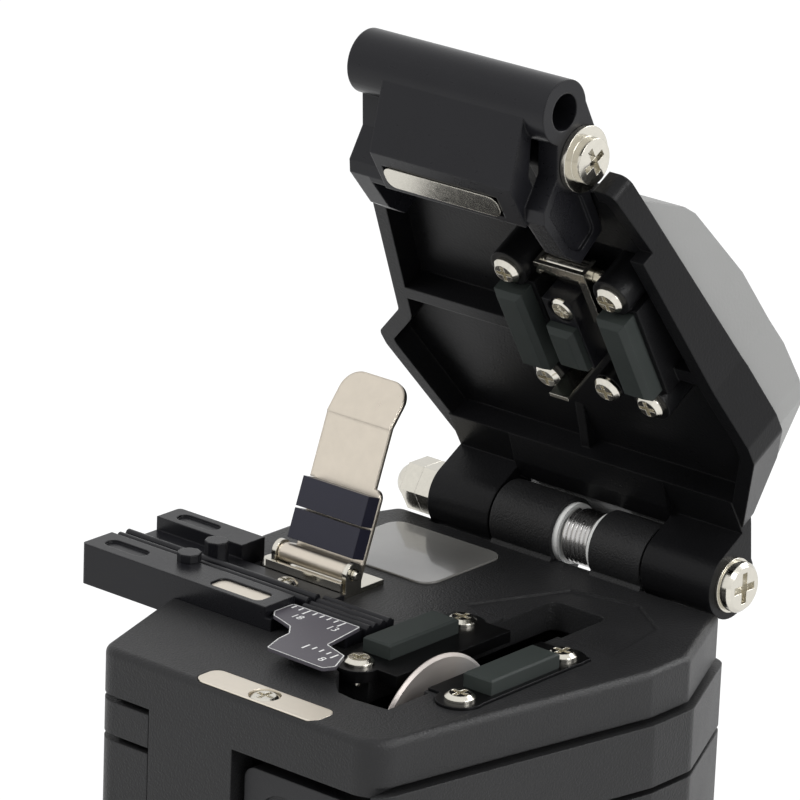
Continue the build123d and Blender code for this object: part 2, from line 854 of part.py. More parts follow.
with BuildPart() as fibre_tray:
    with BuildSketch(level(deck, tray_bottom)):
        tray_plan(0)
    extrude(amount=tray_top - tray_bottom)
    fillet(fibre_tray.edges().filter_by(Axis.Z).group_by(Axis.X)[0], tray_rail_rounding)
    # Groove between the rails, with two round ribs on its floor.
    block(
        deck,
        (tray_left - overcut, tray_right + overcut),
        (tray_front_rail_back, tray_rear_rail_front),
        (tray_floor, tray_top + overcut),
        mode=Mode.SUBTRACT,
    )
    rib_centre = tray_floor + tray_rib_height - tray_rib_radius
    for rib_y in tray_rib_places:
        rod(deck, (tray_left, tray_right), rib_y, rib_centre, tray_rib_radius)
        rib_foot = (rib_y - tray_rib_radius, rib_y + tray_rib_radius)
        block(deck, (tray_left, tray_right), rib_foot, (tray_floor, rib_centre))
    # Finger scallops at the left end of both rails.
    rail_middles = [
        (tray_front + tray_front_rail_back) / 2,
        (tray_rear_rail_front + tray_rear_rail_back) / 2,
    ]
    with BuildSketch(level(deck, tray_top - scallop_depth)):
        with Locations(*[(scallop_x, y) for y in rail_middles]):
            SlotOverall(scallop_length, scallop_width)
    extrude(amount=scallop_depth, mode=Mode.SUBTRACT)
    # Seats of the metal plate, the scale plate and the screw.
    with BuildSketch(level(deck, metal_plate_bottom)):
        metal_plate_plan(seat_gap)
    extrude(amount=metal_plate_thickness + metal_plate_sink + overcut, mode=Mode.SUBTRACT)
    block(
        deck,
        (scale_corners[0][0] - seat_gap, tray_right + overcut),
        (tray_front - overcut, tray_front_rail_back),
        (scale_top - scale_thickness, tray_top + overcut),
        mode=Mode.SUBTRACT,
    )
    with Locations(at(deck, *tray_screw_place, tray_floor)):
        Cylinder(
            tray_screw_radius * 1.4,
            fibre_height,
            align=seated,
            mode=Mode.SUBTRACT,
        )
        screw_hole(tray_screw_radius, tray_floor - tray_bottom)
keep(fibre_tray, "fibre_tray")

with BuildPart() as tray_blocks:
    for (block_x, block_y), seat in zip(tray_block_places, (tray_top, tray_floor)):
        with BuildSketch(level(deck, seat)):
            with Locations((block_x, block_y)):
                RegularPolygon(tray_block_radius, 8)
        extrude(amount=tray_top + tray_block_height - seat)
keep(tray_blocks, "tray_blocks")

with BuildPart() as tray_metal_plate:
    with BuildSketch(level(deck, metal_plate_bottom)):
        metal_plate_plan(0)
    extrude(amount=metal_plate_thickness)
keep(tray_metal_plate, "tray_metal_plate")

with BuildPart() as tray_screw:
    with Locations(at(deck, *tray_screw_place, tray_floor)):
        pan_screw(tray_screw_radius, tray_screw_height, tray_floor - tray_bottom + short_shank)
keep(tray_screw, "tray_screw")

with BuildPart() as fibre_guide:
    block(deck, (guide_left, guide_right), (guide_front, guide_rear), (0, guide_top))
    for ridge_y in guide_ridge_places:
        ridge_centre = guide_top - guide_ridge_radius / 4
        rod(deck, (guide_left, guide_right), ridge_y, ridge_centre, guide_ridge_radius)
    # Foot that carries the scale plate.
    block(
        deck,
        (guide_left, scale_corners[-2][0]),
        (scale_foot_front, guide_front),
        (0, scale_top - scale_thickness),
    )
keep(fibre_guide, "fibre_guide")

with BuildPart() as scale_plate:
    with BuildSketch(level(deck, scale_top - scale_thickness)) as scale_sketch:
        Polygon(*scale_corners, align=None)
        fillet(scale_sketch.vertices(), scale_rounding)
    extrude(amount=scale_thickness)
keep(scale_plate, "scale_plate")

# Clamping flap and its bracket.

bracket_right = flap_right + hole_gap + bracket_ear_thickness
bracket_ears = [
    (flap_left - hole_gap - bracket_ear_thickness, flap_left - hole_gap),
    (flap_right + hole_gap, bracket_right),
]

with BuildPart() as flap_bracket:
    with BuildSketch(level(deck, 0)) as bracket_sketch:
        Polygon(
            (bracket_ears[0][0], bracket_front),
            (bracket_right, bracket_front),
            (bracket_right, bracket_rear),
            (bracket_ears[0][0], bracket_rear),
            align=None,
        )
        loop_middle = (bracket_left + bracket_loop_radius, (bracket_front + bracket_rear) / 2)
        with Locations(loop_middle):
            Circle(bracket_loop_radius)
            Circle(bracket_loop_hole_radius, mode=Mode.SUBTRACT)
    extrude(amount=bracket_thickness)
    lip = (bracket_front, bracket_front + bracket_lip_thickness)
    block(deck, (bracket_ears[0][0], bracket_right), lip, (0, bracket_lip_top))
    for ear in bracket_ears:
        rod(deck, ear, flap_y, flap_z, bracket_ear_radius)
        ear_foot = (flap_y - bracket_ear_radius, flap_y + bracket_ear_radius)
        block(deck, ear, ear_foot, (0, flap_z))
        rod(deck, ear, flap_y, flap_z, flap_pin_radius + hole_gap, mode=Mode.SUBTRACT)
keep(flap_bracket, "flap_bracket")

with BuildPart() as flap_pin:
    pin_span = (bracket_ears[0][0] - flap_pin_radius, bracket_ears[1][1] + flap_pin_radius)
    rod(deck, pin_span, flap_y, flap_z, flap_pin_radius)
    chamfer(flap_pin.edges(), flap_pin_radius / 3)
keep(flap_pin, "flap_pin")

leaf_bottom = flap_z + flap_leaf_bottom
leaf_top = leaf_bottom + flap_leaf_thickness

with BuildPart() as flap_leaf:
    rod(flap, (flap_left, flap_right), flap_y, flap_z, flap_barrel_radius)
    block(
        flap,
        (flap_left, flap_right),
        (flap_y - flap_barrel_radius, flap_y + flap_pin_radius),
        (flap_z, leaf_top),
    )
    with BuildSketch(level(flap, leaf_bottom)):
        plate_end = flap_y - flap_pad_starts[1] - flap_pad_length - flap_plate_margin
        with BuildSketch(mode=Mode.PRIVATE) as pad_carrier:
            Polygon(
                (flap_left, flap_y),
                (flap_left, plate_end),
                (flap_right, plate_end),
                (flap_right, flap_y),
                align=None,
            )
            fillet(pad_carrier.vertices().group_by(Axis.Y)[0], flap_plate_rounding)
        add(pad_carrier.sketch)
        Polygon(
            (flap_handle_left, plate_end + flap_plate_margin),
            (flap_handle_left, flap_y - flap_bend),
            (flap_handle_right, flap_y - flap_bend),
            (flap_handle_right, plate_end + flap_plate_margin),
            align=None,
        )
    extrude(amount=flap_leaf_thickness)
    # Handle end, leaning back and rounded at its corners.
    bend = at(flap, flap_handle_left, flap_y - flap_bend, leaf_bottom, (-flap_handle_lean, 0, 0))
    with BuildSketch(Plane(bend)) as handle_end:
        Polygon(
            (0, flap_leaf_thickness / 2),
            (flap_handle_right - flap_handle_left, flap_leaf_thickness / 2),
            (flap_handle_right - flap_handle_left, -flap_handle_length),
            (0, -flap_handle_length),
            align=None,
        )
        fillet(handle_end.vertices().group_by(Axis.Y)[0], flap_handle_rounding)
    extrude(amount=flap_leaf_thickness)
    rod(flap, (flap_left, flap_right), flap_y, flap_z, flap_pin_radius + running_gap, mode=Mode.SUBTRACT)
keep(flap_leaf, "flap_leaf")

with BuildPart() as flap_pads:
    for start in flap_pad_starts:
        block(
            flap,
            (flap_left, flap_right),
            (flap_y - start - flap_pad_length, flap_y - start),
            (flap_z + flap_pad_face, leaf_bottom),
        )
keep(flap_pads, "flap_pads")

# Lid hinge hardware.

nut_right = lid_left_knuckle[0]
nut_left = nut_right - hinge_nut_thickness
acorn_left = nut_left - acorn_base_thickness
washer_right = lid_right_knuckle[1] + hinge_washer_thickness
shaft_left = acorn_left
hex_radius = hinge_nut_flats / 3 ** 0.5

with BuildPart() as hinge_screw:
    rod(deck, (shaft_left, washer_right), hinge_y, hinge_z, hinge_shaft_radius)
    with Locations(at(deck, washer_right, hinge_y, hinge_z, to_right)):
        Cylinder(hinge_head_radius, hinge_head_height * head_crown_share, align=seated)
        with Locations((0, 0, hinge_head_height * head_crown_share)):
            hinge_crown = hinge_head_height * (1 - head_crown_share)
            Cone(hinge_head_radius, hinge_head_radius - hinge_crown, hinge_crown, align=seated)
        cross_recess(hinge_head_radius, hinge_head_height)
keep(hinge_screw, "hinge_screw")

with BuildPart() as hinge_washer:
    rod(deck, (lid_right_knuckle[1], washer_right), hinge_y, hinge_z, hinge_washer_radius)
    rod(
        deck,
        (lid_right_knuckle[1], washer_right),
        hinge_y,
        hinge_z,
        hinge_shaft_radius + hole_gap,
        mode=Mode.SUBTRACT,
    )
keep(hinge_washer, "hinge_washer")


def hex_nut(left, thickness):
    """Hexagonal nut body on the hinge shaft."""
    with BuildSketch(side(deck, left)) as hexagon:
        with Locations((hinge_y, hinge_z)):
            RegularPolygon(hex_radius, 6)
            Circle(hinge_shaft_radius + hole_gap, mode=Mode.SUBTRACT)
    extrude(hexagon.sketch, amount=thickness)


with BuildPart() as hinge_nut:
    hex_nut(nut_left, hinge_nut_thickness)
keep(hinge_nut, "hinge_nut")

with BuildPart() as hinge_acorn_nut:
    hex_nut(acorn_left, acorn_base_thickness)
    with BuildSketch(Plane(at(deck, acorn_left, hinge_y, hinge_z, to_left))):
        Circle(acorn_dome_radius)
    extrude(amount=acorn_dome_radius)
    fillet(hinge_acorn_nut.edges().group_by(Axis.X)[0], acorn_dome_radius * 0.9)
keep(hinge_acorn_nut, "hinge_acorn_nut")

bush_left = (base_left_knuckle[1], base_left_knuckle[1] + bush_thickness)
bush_right = (base_right_knuckle[0] - bush_thickness, base_right_knuckle[0])

with BuildPart() as nylon_bushes:
    for bush in (bush_left, bush_right):
        rod(deck, bush, hinge_y, hinge_z, bush_radius)
        rod(deck, bush, hinge_y, hinge_z, hinge_shaft_radius + running_gap, mode=Mode.SUBTRACT)
keep(nylon_bushes, "nylon_bushes")

with BuildPart() as torsion_spring:
    coil_length = bush_right[0] - bush_left[1] - 2 * torsion_spring_wire - 2 * seat_gap
    coil(
        (bush_left[1] + torsion_spring_wire + seat_gap, hinge_y, deck_height + hinge_z),
        coil_length,
        torsion_spring_radius,
        torsion_spring_wire,
        torsion_spring_turns,
        (1, 0, 0),
    )
keep(torsion_spring, "torsion_spring")

# Blade carriage.

carriage_front = push_plate_front + push_plate_thickness
blade_top = deck_height + fibre_height - blade_below_fibre
blade_z = blade_top - blade_radius
holder_base_height = blade_z - blade_radius - blade_floor_gap
blade_left = blade_x - blade_thickness / 2
blade_right = blade_x + blade_thickness / 2
hub_right = blade_right + seat_gap + hub_thickness
rail_top = plate_top + rail_height
rail_edges = (rail_x - rail_width / 2, rail_x + rail_width / 2)
rail_ends = (front_y + shell_thickness + rail_end_gap, rear_y - shell_thickness - rail_end_gap)
rail_screws_y = (rail_ends[0] + rail_screw_inset, rail_ends[1] - rail_screw_inset)
floor = Location()

with BuildPart() as guide_rail:
    block(floor, rail_edges, rail_ends, (plate_top, rail_top))
    with Locations(*[(rail_x, y, rail_top) for y in rail_screws_y]):
        Cylinder(
            pad_screw_radius + hole_gap,
            pad_screw_height + hole_gap,
            align=hanging,
            mode=Mode.SUBTRACT,
        )
        screw_hole(pad_screw_radius, rail_height / 2)
keep(guide_rail, "guide_rail")

with BuildPart() as rail_screws:
    screw_seat = rail_top - pad_screw_height - hole_gap
    with Locations(*[(rail_x, y, screw_seat) for y in rail_screws_y]):
        pan_screw(pad_screw_radius, pad_screw_height, rail_height / 3)
keep(rail_screws, "rail_screws")

with BuildPart() as carriage_runner:
    block(
        floor,
        (rail_x - runner_width / 2, rail_x + runner_width / 2),
        (carriage_front, carriage_rear),
        (runner_bottom, runner_top),
    )
    block(
        floor,
        (rail_edges[0] - running_gap, rail_edges[1] + running_gap),
        (carriage_front - overcut, carriage_rear + overcut),
        (runner_bottom - overcut, rail_top + running_gap),
        mode=Mode.SUBTRACT,
    )
keep(carriage_runner, "carriage_runner")

with BuildPart() as carriage_block:
    block(
        floor,
        (carriage_left, carriage_right),
        (carriage_front, carriage_rear),
        (runner_top, holder_base_height),
    )
    # Lug that pulls on the return spring.
    block(
        floor,
        (lug_left, carriage_left),
        (carriage_rear - lug_length, carriage_rear),
        (runner_top, holder_base_height),
    )
keep(carriage_block, "carriage_block")

push_plate_across = (window_left + push_plate_gap, window_right - push_plate_gap)
push_plate_up = (window_bottom + push_plate_gap, window_top - push_plate_gap * 2)

with BuildPart() as push_plate:
    block(floor, push_plate_across, (push_plate_front, carriage_front), push_plate_up)
    fillet(push_plate.edges().filter_by(Axis.Y), side_rounding)
    # Raised rounded panel shown by a groove around it.
    with BuildSketch(Plane(floor * Plane.XZ.offset(-push_plate_front).location)):
        middle = (sum(push_plate_across) / 2, sum(push_plate_up) / 2)
        panel_width = push_plate_across[1] - push_plate_across[0] - 2 * push_panel_inset
        panel_height = push_plate_up[1] - push_plate_up[0] - 2 * push_panel_inset
        with Locations(middle):
            RectangleRounded(panel_width, panel_height, side_rounding * 2)
            RectangleRounded(
                panel_width - 4 * push_panel_depth,
                panel_height - 4 * push_panel_depth,
                side_rounding * 2 - push_panel_depth,
                mode=Mode.SUBTRACT,
            )
    extrude(amount=-push_panel_depth, mode=Mode.SUBTRACT)
keep(push_plate, "push_plate")

with BuildPart() as blade_holder:
    holder_top = ceiling - seat_gap * 6
    block(
        floor,
        (hub_right, hub_right + holder_thickness),
        (blade_y - holder_half_length, blade_y + holder_half_length),
        (holder_base_height, holder_top),
    )
    rod(
        floor,
        (hub_right, hub_right + holder_thickness),
        blade_y,
        blade_z,
        blade_axle_radius + hole_gap,
        mode=Mode.SUBTRACT,
    )
    fillet(blade_holder.edges().filter_by(Axis.X).group_by(Axis.Z)[-1], side_rounding)
keep(blade_holder, "blade_holder")

with BuildPart() as blade_wheel:
    rod(floor, (blade_left, blade_right), blade_y, blade_z, blade_radius)
    chamfer(blade_wheel.edges(), blade_thickness * 0.4, blade_thickness * 0.6)
    rod(floor, (blade_left, blade_right), blade_y, blade_z, blade_bore_radius, mode=Mode.SUBTRACT)
keep(blade_wheel, "blade_wheel")

with BuildPart() as blade_hub:
    rod(floor, (blade_right + seat_gap, hub_right), blade_y, blade_z, hub_radius)
    rod(
        floor,
        (blade_right + seat_gap, hub_right),
        blade_y,
        blade_z,
        blade_axle_radius + hole_gap,
        mode=Mode.SUBTRACT,
    )
keep(blade_hub, "blade_hub")

with BuildPart() as blade_screw:
    screw_face = blade_left - seat_gap
    rod(floor, (screw_face, hub_right + holder_thickness), blade_y, blade_z, blade_axle_radius)
    with Locations(at(floor, screw_face, blade_y, blade_z, to_left)):
        Cylinder(blade_screw_head_radius, blade_screw_head_height, align=seated)
        cross_recess(blade_screw_head_radius, blade_screw_head_height)
keep(blade_screw, "blade_screw")

with BuildPart() as carriage_spring:
    spring_start = spring_post_y + spring_post_radius + spring_wire + seat_gap
    spring_end = carriage_rear - lug_length - spring_wire - seat_gap
    coil(
        (spring_x, spring_start, spring_z),
        spring_end - spring_start,
        spring_radius,
        spring_wire,
        (spring_end - spring_start) / spring_pitch,
        (0, 1, 0),
    )
keep(carriage_spring, "carriage_spring")

# Lid.

handle_slots = [
    (handle_left - arm_slot_gap, handle_left + handle_arm_width + arm_slot_gap),
    (handle_right - handle_arm_width - arm_slot_gap, handle_right + pivot_head_room),
]
lid_ears = [
    (handle_slots[0][1], handle_slots[0][1] + ear_width),
    (handle_slots[1][0] - ear_width, handle_slots[1][0]),
]
lid_screw_reach = pad_length / 2 + lid_pad_screw_margin
lid_screws = [
    at(lid, x, y, lid_boss_bottom, upside_down)
    for x in pad_places
    for y in (pad_y - lid_screw_reach, pad_y + lid_screw_reach)
]
stop_screw_place = at(lid, *stop_boss_place, stop_screw_seat, upside_down)
anvil_pin_inset = lid_holder_width / 2 - anvil_pin_engagement
anvil_pin_span = (pad_places[0] + anvil_pin_inset, pad_places[1] - anvil_pin_inset)


def lid_pocket(front, rear, top):
    """Pocket in the lid's underside inside its walls, between two Y values."""
    with BuildSketch(level(lid, lid_pocket_bottom)) as pocket:
        add(lid_plan.sketch)
        offset(amount=-lid_wall)
        with Locations((0, (front + rear) / 2)):
            Rectangle(2 * plan_reach, rear - front, mode=Mode.INTERSECT)
    extrude(pocket.sketch, amount=top - lid_pocket_bottom, mode=Mode.SUBTRACT)


with BuildPart() as lid_shell:
    with BuildSketch(level(lid, lid_pocket_bottom)):
        add(lid_plan.sketch)
    extrude(amount=lid_top_reach)
    prism(lid, (-plan_reach, plan_reach), lid_wall_profile, mode=Mode.INTERSECT)
    lid_pocket(lid_corners[0][1], lid_ceiling_step, lid_front_ceiling)
    lid_pocket(lid_ceiling_step, lid_rib_front, lid_rear_ceiling)
    lid_pocket(lid_rib_rear, lid_corners[4][1] * 2, lid_rear_ceiling)
    # Open front between the handle's arms.
    block(
        lid,
        (handle_slots[0][0], handle_slots[1][1]),
        (lid_corners[0][1] - overcut, arm_slot_back),
        (lid_pocket_bottom, lid_front_ceiling),
        mode=Mode.SUBTRACT,
    )
    for slot in handle_slots:
        block(
            lid,
            slot,
            (lid_corners[0][1] - overcut, arm_slot_back),
            (lid_pocket_bottom, lid_top_reach),
            mode=Mode.SUBTRACT,
        )
    # Bay above the anvil.
    block(
        lid,
        (anvil_bay_left, anvil_bay_right),
        (anvil_pivot_y + anvil_barrel_radius, anvil_tab_rear + overcut),
        (lid_pocket_bottom, lid_rear_ceiling),
        mode=Mode.SUBTRACT,
    )
    # Pad holders with a round boss at each screw.
    for pad_x in pad_places:
        half = lid_holder_width / 2
        reach = pad_length / 2 + lid_holder_overhang
        block(
            lid,
            (pad_x - half, pad_x + half),
            (pad_y - reach, pad_y + reach),
            (lid_holder_bottom, lid_rear_ceiling),
        )
    for place in lid_screws:
        with Locations(place):
            Cylinder(lid_boss_radius, lid_rear_ceiling - lid_boss_bottom, align=hanging)
    # The bosses stop short of the pads.
    for pad_x in pad_places:
        clamp = (pad_y - pad_length / 2 - seat_gap, pad_y + pad_length / 2 + seat_gap)
        block(
            lid,
            (pad_x - lid_holder_width / 2, pad_x + lid_holder_width / 2),
            clamp,
            (lid_boss_bottom - overcut, lid_holder_bottom),
            mode=Mode.SUBTRACT,
        )
    with Locations(stop_screw_place):
        Cylinder(stop_boss_radius, lid_rear_ceiling - stop_screw_seat, align=hanging)
    with Locations(*lid_screws, stop_screw_place):
        screw_hole(pad_screw_radius, short_shank * 3)
    rod(lid, anvil_pin_span, anvil_pivot_y, anvil_pivot_z, anvil_pin_radius + hole_gap, mode=Mode.SUBTRACT)
    # Ears for the handle's pivot.
    for ear in lid_ears:
        prism(lid, ear, ear_profile)
        rod(lid, ear, handle_pivot_y, handle_pivot_z, ear_radius)
        rod(lid, ear, handle_pivot_y, handle_pivot_z, handle_pivot_radius + hole_gap, mode=Mode.SUBTRACT)
    # Web over the base's knuckles, with a rib up into the lid.
    web_across = (lid_left_knuckle[1], lid_right_knuckle[0])
    prism(lid, web_across, hinge_web_profile)
    rib_across = (hinge_web_rib_x, hinge_web_rib_x + hinge_web_rib_width)
    prism(lid, rib_across, hinge_web_rib_profile)
    rod(lid, web_across, hinge_y, hinge_z, knuckle_relief, mode=Mode.SUBTRACT)
    # Arms down to the two knuckles of the lid.
    for knuckle in (lid_left_knuckle, lid_right_knuckle):
        prism(lid, knuckle, hinge_arm_profile)
        rod(lid, knuckle, hinge_y, hinge_z, knuckle_radius)
        rod(lid, knuckle, hinge_y, hinge_z, hinge_shaft_radius + hole_gap / 2, mode=Mode.SUBTRACT)
keep(lid_shell, "lid_shell")

with BuildPart() as lid_cover:
    with BuildSketch(level(lid, lid_rear_ceiling)):
        add(lid_plan.sketch)
        offset(amount=-cover_inset)
    extrude(amount=lid_top_reach)
    prism(lid, (-plan_reach, plan_reach), cover_profile, mode=Mode.INTERSECT)
    prism(
        lid,
        (cover_inner_left, cover_inner_right),
        cover_inner_profile,
        mode=Mode.SUBTRACT,
    )
    # The cover sits on the sloping top of the lid's walls.
    prism(lid, (-plan_reach, plan_reach), lid_wall_profile, mode=Mode.SUBTRACT)
keep(lid_cover, "lid_cover")

with BuildPart() as lid_pad_left:
    clamping_pad(lid, pad_places[0], (fibre_height, lid_holder_bottom))
    chamfer(lid_pad_left.edges().group_by(lid_up)[0], lid_pad_chamfer)
keep(lid_pad_left, "lid_pad_left")

with BuildPart() as lid_pad_right:
    clamping_pad(lid, pad_places[1], (fibre_height, lid_holder_bottom))
    chamfer(lid_pad_right.edges().group_by(lid_up)[0], lid_pad_chamfer)
keep(lid_pad_right, "lid_pad_right")

with BuildPart() as lid_pad_screws:
    with Locations(*lid_screws):
        pan_screw(pad_screw_radius, lid_screw_height, short_shank * 2)
keep(lid_pad_screws, "lid_pad_screws")

with BuildPart() as anvil_stop_screw:
    with Locations(stop_screw_place):
        pan_screw(pad_screw_radius, lid_screw_height, short_shank * 2)
keep(anvil_stop_screw, "anvil_stop_screw")

# Anvil.

anvil_web_top = anvil_web_bottom + anvil_web_thickness
anvil_screw_seat = at(lid, *anvil_screw_place, anvil_block_bottom + anvil_web_thickness, upside_down)

with BuildPart() as anvil_pivot_pin:
    rod(lid, anvil_pin_span, anvil_pivot_y, anvil_pivot_z, anvil_pin_radius)
keep(anvil_pivot_pin, "anvil_pivot_pin")

with BuildPart() as anvil_bracket:
    rod(lid, (anvil_left, anvil_right), anvil_pivot_y, anvil_pivot_z, anvil_barrel_radius)
    web_along = (anvil_pivot_y, anvil_web_rear)
    block(lid, (anvil_left, anvil_right), web_along, (anvil_web_bottom, anvil_web_top))
    flange_top = anvil_web_bottom + anvil_flange_height
    left_flange = (anvil_left, anvil_left + anvil_flange_thickness)
    right_flange = (anvil_right - anvil_flange_thickness, anvil_right)
    block(lid, left_flange, web_along, (anvil_web_bottom, flange_top))
    block(lid, right_flange, web_along, (anvil_web_bottom, flange_top))
    # Flat frame round the front of the block: a bar and a leg down the right side.
    bar_heights = (anvil_bar_bottom, anvil_bar_bottom + anvil_web_thickness)
    bar_along = (anvil_bar_front, anvil_bar_rear)
    block(lid, (anvil_left, anvil_right), bar_along, bar_heights)
    leg_along = (anvil_bar_front, anvil_leg_rear)
    block(lid, (anvil_right - anvil_leg_width, anvil_right), leg_along, bar_heights)
    leg_wall = (anvil_bar_bottom, flange_top)
    block(lid, right_flange, leg_along, leg_wall)
    block(lid, left_flange, (anvil_bar_front, anvil_pivot_y), leg_wall)
    # Tab at the rear that lifts the cut fibre end.
    block(
        lid,
        (anvil_tab_left, anvil_tab_right),
        (anvil_web_rear, anvil_tab_rear),
        (anvil_web_bottom, anvil_web_top),
    )
    block(
        lid,
        (anvil_tab_left, anvil_tab_right),
        (anvil_tab_rear - anvil_web_thickness, anvil_tab_rear),
        (anvil_tab_tip, anvil_web_top),
    )
    rod(
        lid,
        (anvil_left, anvil_right),
        anvil_pivot_y,
        anvil_pivot_z,
        anvil_pin_radius + running_gap,
        mode=Mode.SUBTRACT,
    )
keep(anvil_bracket, "anvil_bracket")

with BuildPart() as anvil_block:
    block(
        lid,
        (anvil_block_left, anvil_block_right),
        (anvil_block_front, anvil_block_rear),
        (anvil_block_bottom, anvil_web_bottom),
    )
    with Locations(anvil_screw_seat):
        Cylinder(
            anvil_screw_radius + hole_gap,
            anvil_web_thickness,
            align=seated,
            mode=Mode.SUBTRACT,
        )
        screw_hole(anvil_screw_radius, short_shank + hole_gap)
keep(anvil_block, "anvil_block")

with BuildPart() as anvil_pad:
    block(
        lid,
        (anvil_pad_left, anvil_pad_right),
        (anvil_pad_front, anvil_pad_rear),
        (fibre_height, anvil_block_bottom),
    )
    chamfer(anvil_pad.edges().group_by(lid_up)[0], lid_pad_chamfer)
keep(anvil_pad, "anvil_pad")

with BuildPart() as anvil_screw:
    with Locations(anvil_screw_seat):
        pan_screw(anvil_screw_radius, anvil_web_thickness, short_shank)
keep(anvil_screw, "anvil_screw")

# Handle.

arm_spans = [
    (handle_left, handle_left + handle_arm_width),
    (handle_right - handle_arm_width, handle_right),
]

with BuildPart() as handle:
    for arm in arm_spans:
        prism(lid, arm, handle_arm_profile)
    rod(lid, (handle_left, handle_right), handle_tube_y, handle_tube_z, handle_tube_radius)
    prism(lid, (arm_spans[0][1], handle_wedge_left), handle_shoulder_profile)
    prism(lid, (handle_wedge_left, arm_spans[1][0]), handle_wedge_profile)
    with BuildSketch(side(lid, handle_right)) as arm_pocket:
        Polygon(*arm_pocket_profile, align=None)
        fillet(arm_pocket.vertices(), arm_pocket_rounding)
    extrude(arm_pocket.sketch, amount=-arm_pocket_depth, mode=Mode.SUBTRACT)
    rod(
        lid,
        (handle_left - overcut, handle_right + overcut),
        handle_tube_y,
        handle_tube_z,
        handle_bore_radius,
        mode=Mode.SUBTRACT,
    )
    # Seat of the magnet and the pivot's bores.
    block(
        lid,
        (magnet_left - seat_gap, magnet_right + seat_gap),
        (magnet_front - seat_gap, magnet_rear + seat_gap),
        (magnet_bottom - overcut, magnet_bottom + magnet_height),
        mode=Mode.SUBTRACT,
    )
    for arm in arm_spans:
        rod(
            lid,
            arm,
            handle_pivot_y,
            handle_pivot_z,
            handle_pivot_radius + running_gap,
            mode=Mode.SUBTRACT,
        )
keep(handle, "handle")

with BuildPart() as handle_magnet:
    block(
        lid,
        (magnet_left, magnet_right),
        (magnet_front, magnet_rear),
        (magnet_bottom, magnet_bottom + magnet_height),
    )
    fillet(handle_magnet.edges().filter_by(lid_up), magnet_rounding)
keep(handle_magnet, "handle_magnet")

with BuildPart() as handle_pivot_screw:
    rod(lid, (handle_left, handle_right), handle_pivot_y, handle_pivot_z, handle_pivot_radius)
    with Locations(at(lid, handle_right + seat_gap, handle_pivot_y, handle_pivot_z, to_right)):
        Cylinder(handle_pivot_radius, seat_gap * 2, align=hanging)
        Cylinder(pivot_flange_radius, pivot_flange_height, align=seated)
        with Locations((0, 0, pivot_flange_height)):
            Cylinder(pivot_head_radius, pivot_head_height, align=seated)
            cross_recess(pivot_head_radius, pivot_head_height)
keep(handle_pivot_screw, "handle_pivot_screw")

with BuildPart() as handle_spring:
    coil_start = at(lid, handle_spring_start, handle_pivot_y, handle_pivot_z).position
    coil(
        tuple(coil_start),
        handle_spring_length,
        handle_spring_radius,
        handle_spring_wire,
        handle_spring_length / (3 * handle_spring_wire),
        (1, 0, 0),
    )
keep(handle_spring, "handle_spring")
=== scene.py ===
# %% [markdown]
# # A fibre cleaver with its lid open
#
# The CAD part gives the shape and the motion. This script dresses it: each
# piece gets a finish made of shader nodes, the marks of the printed scale are
# added as thin pieces, and a camera and lamps stand where the photographer's
# were.
#
# Everything is in metres and in the CAD's own frame, so a finish or a new
# piece never has to be fitted to its neighbours.

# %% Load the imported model
import math

import bmesh
import bpy
from mathutils import Matrix, Vector


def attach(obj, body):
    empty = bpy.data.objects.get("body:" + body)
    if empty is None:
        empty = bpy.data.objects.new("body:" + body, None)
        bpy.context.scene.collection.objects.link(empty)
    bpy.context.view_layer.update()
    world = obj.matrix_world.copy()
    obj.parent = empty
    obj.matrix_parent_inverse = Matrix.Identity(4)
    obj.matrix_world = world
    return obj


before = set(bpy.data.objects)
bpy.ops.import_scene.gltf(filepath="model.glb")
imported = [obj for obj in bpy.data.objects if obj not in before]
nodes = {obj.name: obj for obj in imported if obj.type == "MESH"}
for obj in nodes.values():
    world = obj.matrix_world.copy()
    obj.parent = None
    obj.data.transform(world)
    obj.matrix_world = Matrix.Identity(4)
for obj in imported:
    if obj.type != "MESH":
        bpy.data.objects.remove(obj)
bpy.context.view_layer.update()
mm = 0.001

# %% [markdown]
# ## Writing finishes as expressions
#
# A finish is a small network of shader nodes. Written node by node it is long
# and hard to read, so a socket is wrapped in a class whose operators add the
# Math nodes: `broad * 0.6 + dust * 0.25` reads as what it does. Every other
# node comes from one method, which sets the node's settings first and its
# sockets after. The same method serves the materials and the world.


# %% A socket that can be calculated with
class Value:
    """A shader socket; arithmetic on it adds Math nodes to its material."""

    def __init__(self, look, socket):
        self.look = look
        self.socket = socket

    def math(self, operation, first, second):
        """Math node on two values or numbers."""
        return self.look.node("ShaderNodeMath", {0: first, 1: second}, operation=operation)

    def __add__(self, other):
        return self.math("ADD", self, other)

    def __radd__(self, other):
        return self.math("ADD", other, self)

    def __sub__(self, other):
        return self.math("SUBTRACT", self, other)

    def __mul__(self, other):
        return self.math("MULTIPLY", self, other)

    def __pow__(self, other):
        return self.math("POWER", self, other)


# %% One method for every other node
class Nodes:
    """The empty node tree of a material or a world, and the method that fills it."""

    def __init__(self, owner):
        owner.use_nodes = True
        self.tree = owner.node_tree
        self.tree.nodes.clear()

    def node(self, kind, sockets=None, output=0, stops=None, **settings):
        """Add a node: settings and ramp stops first, then socket values or links."""
        made = self.tree.nodes.new(kind)
        for setting, value in settings.items():
            setattr(made, setting, value)
        if stops:
            ramp = made.color_ramp
            while len(ramp.elements) < len(stops):
                ramp.elements.new(1.0)
            for element, (position, colour) in zip(ramp.elements, stops):
                element.position = position
                element.color = (*colour, 1.0)
        for socket, value in (sockets or {}).items():
            if isinstance(value, Value):
                self.tree.links.new(value.socket, made.inputs[socket])
            else:
                made.inputs[socket].default_value = value
        return Value(self, made.outputs[output]) if made.outputs else None


